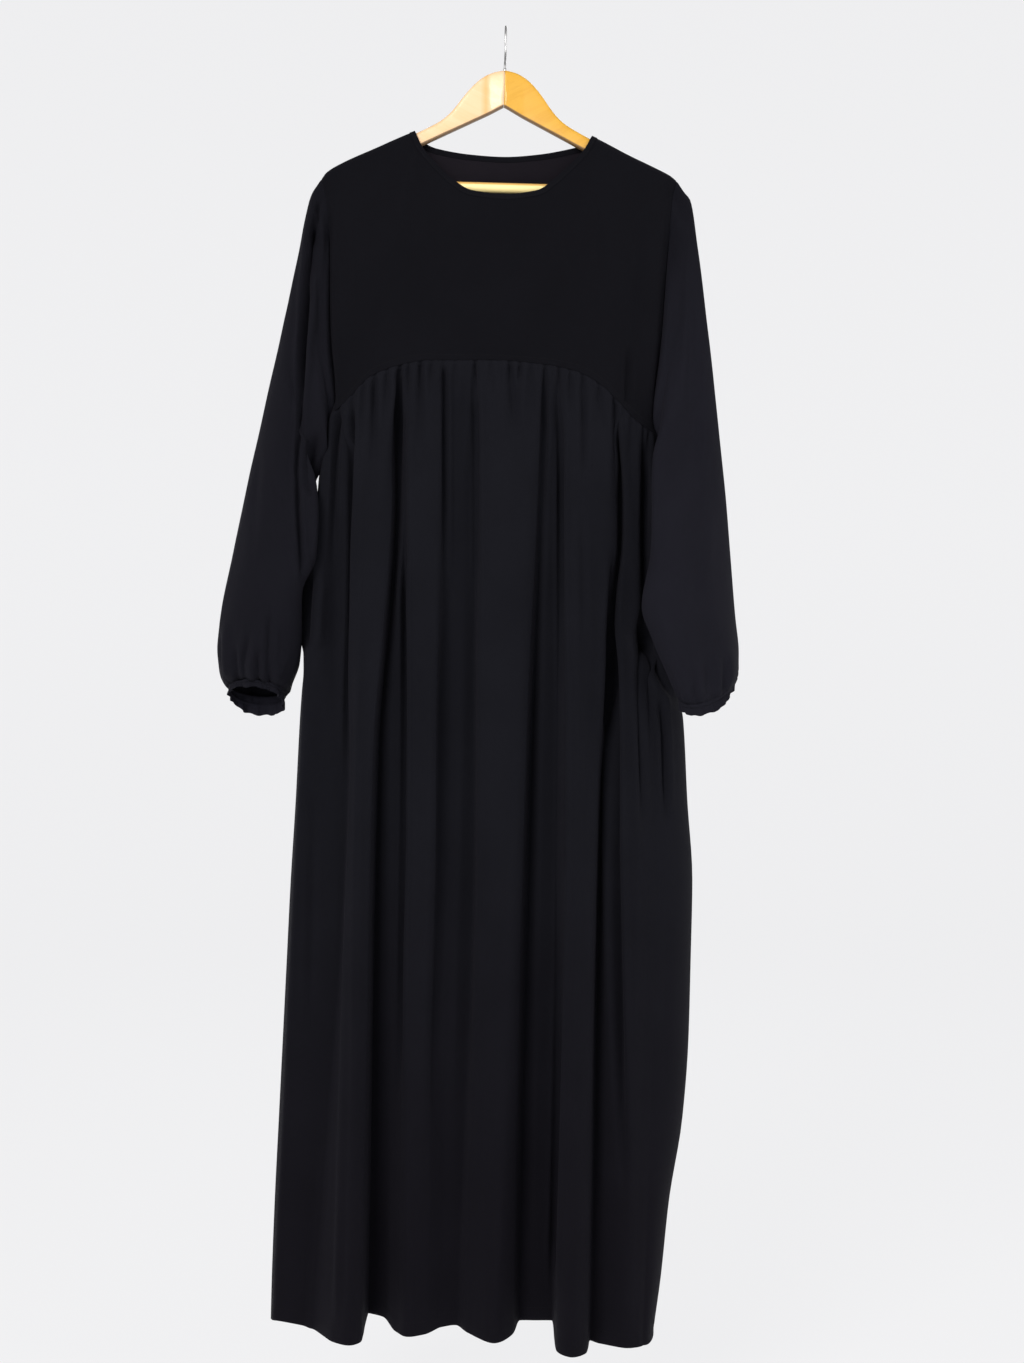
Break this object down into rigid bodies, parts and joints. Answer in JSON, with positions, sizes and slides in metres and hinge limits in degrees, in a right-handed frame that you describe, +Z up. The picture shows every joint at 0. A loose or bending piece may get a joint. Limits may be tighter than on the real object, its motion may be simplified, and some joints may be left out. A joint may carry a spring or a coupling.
{
  "type": "abaya on a hanger",
  "caption": "Long loose black abaya with a plain yoke, gathered skirt, round bound neck and long sleeves gathered into elastic cuffs, hanging on a curved wooden hanger with a bar.",
  "frame": {"origin": "inside of the hanger hook's crown, where it rests on a rail", "axes": "+Z up out of the hook, -Y out of the garment's front, +X to the right of a viewer who faces the front"},
  "size_m": [0.621, 0.2092, 1.5699],
  "materials": {
    "black_cloth": "matte",
    "black_binding": "matte",
    "varnished_wood": "gloss",
    "hook_steel": "polished"
  },
  "bodies": {
    "root": {"yoke_front": "black_cloth", "yoke_back": "black_cloth", "skirt_front": "black_cloth", "skirt_back": "black_cloth", "sleeve_left": "black_cloth", "sleeve_right": "black_cloth", "cuff_left": "black_cloth", "cuff_right": "black_cloth", "neck_binding": "black_binding", "hanger_arm_left": "varnished_wood", "hanger_arm_right": "varnished_wood", "hanger_bar": "varnished_wood", "hanger_hook": "hook_steel"}
  },
  "joints": []
}
